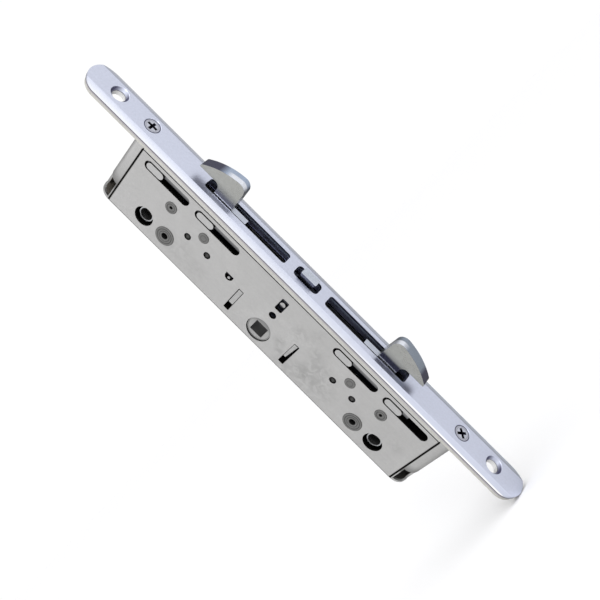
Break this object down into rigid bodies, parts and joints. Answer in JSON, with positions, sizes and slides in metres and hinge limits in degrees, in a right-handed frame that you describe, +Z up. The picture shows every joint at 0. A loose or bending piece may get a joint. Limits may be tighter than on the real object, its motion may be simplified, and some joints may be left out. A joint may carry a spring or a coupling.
{
  "type": "multipoint door lock",
  "caption": "Mortise lock for a sliding door: a long round-ended faceplate on a flat case, with two hooks that swing out and a spring plunger between them.",
  "frame": {"origin": "centre of the faceplate's front face, midway between the two door screw holes", "axes": "+X out of the door edge, square to the faceplate; +Z up along the faceplate; -Y is the side of the flat case cover"},
  "size_m": [0.0696, 0.022, 0.307],
  "materials": {
    "face_silver": "satin silver",
    "plated_steel": "zinc plated, matt",
    "case_steel": "zinc plated, matt",
    "hook_steel": "zinc plated, satin",
    "rivet_steel": "plain steel",
    "bright_steel": "bright zinc plated",
    "bar_steel": "plain steel",
    "die_cast": "die cast zinc",
    "spring_steel": "spring steel",
    "black_nylon": "moulded"
  },
  "bodies": {
    "case": {"faceplate": "face_silver", "backing_plate": "plated_steel", "case_base": "case_steel", "case_cover": "case_steel", "end_block_upper": "die_cast", "end_block_lower": "die_cast", "face_screw_upper": "bright_steel", "face_screw_lower": "bright_steel", "handle_post_upper": "bright_steel", "handle_post_lower": "bright_steel", "big_rivet_upper": "rivet_steel", "big_rivet_lower": "rivet_steel", "cover_rivet_upper": "rivet_steel", "cover_rivet_lower": "rivet_steel", "hook_pivot_upper": "rivet_steel", "hook_pivot_lower": "rivet_steel", "pivot_washers": "bright_steel", "hook_pad_upper": "black_nylon", "hook_pad_lower": "black_nylon", "pad_rivets": "rivet_steel", "spring_carrier": "bright_steel", "detent_spring_upper": "spring_steel", "detent_spring_lower": "spring_steel", "plunger_guide": "black_nylon", "plunger_spring": "spring_steel"},
    "follower_body": {"follower": "die_cast"},
    "drive_bars": {"front_drive_bar": "bar_steel", "rear_drive_bar": "bar_steel", "guide_boss_1": "bright_steel", "guide_boss_2": "bright_steel", "guide_boss_3": "bright_steel", "guide_boss_4": "bright_steel", "bar_rivet_upper": "rivet_steel", "bar_rivet_lower": "rivet_steel"},
    "upper_hook_body": {"upper_hook": "hook_steel", "upper_hook_pin": "rivet_steel"},
    "lower_hook_body": {"lower_hook": "hook_steel", "lower_hook_pin": "rivet_steel"},
    "plunger_body": {"plunger": "bright_steel", "plunger_pin": "bright_steel"}
  },
  "joints": [
    {"name": "follower_turn", "type": "hinge", "parent": "case", "child": "follower_body", "pos_m": [-0.043, 0, 0], "axis": [0, 1, 0], "range_deg": [0, 90]},
    {"name": "bar_slide", "type": "slide", "parent": "case", "child": "drive_bars", "axis": [0, 0, -1], "range_m": [0, 0.01728]},
    {"name": "upper_hook_swing", "type": "hinge", "parent": "case", "child": "upper_hook_body", "pos_m": [-0.0233, 0, 0.0533], "axis": [0, 1, 0], "range_deg": [0, 96]},
    {"name": "lower_hook_swing", "type": "hinge", "parent": "case", "child": "lower_hook_body", "pos_m": [-0.0233, 0, -0.0533], "axis": [0, -1, 0], "range_deg": [0, 96]},
    {"name": "plunger_slide", "type": "slide", "parent": "case", "child": "plunger_body", "axis": [-1, 0, 0], "range_m": [0, 0.0027], "stiffness_N_per_m": 400, "springref_m": -0.005, "deforming": ["plunger_spring"]}
  ],
  "couplings": [
    {"joint": "follower_turn", "follows": "bar_slide", "rad_per_m": 90.909},
    {"joint": "upper_hook_swing", "follows": "bar_slide", "rad_per_m": 96.96},
    {"joint": "lower_hook_swing", "follows": "bar_slide", "rad_per_m": 96.96}
  ]
}
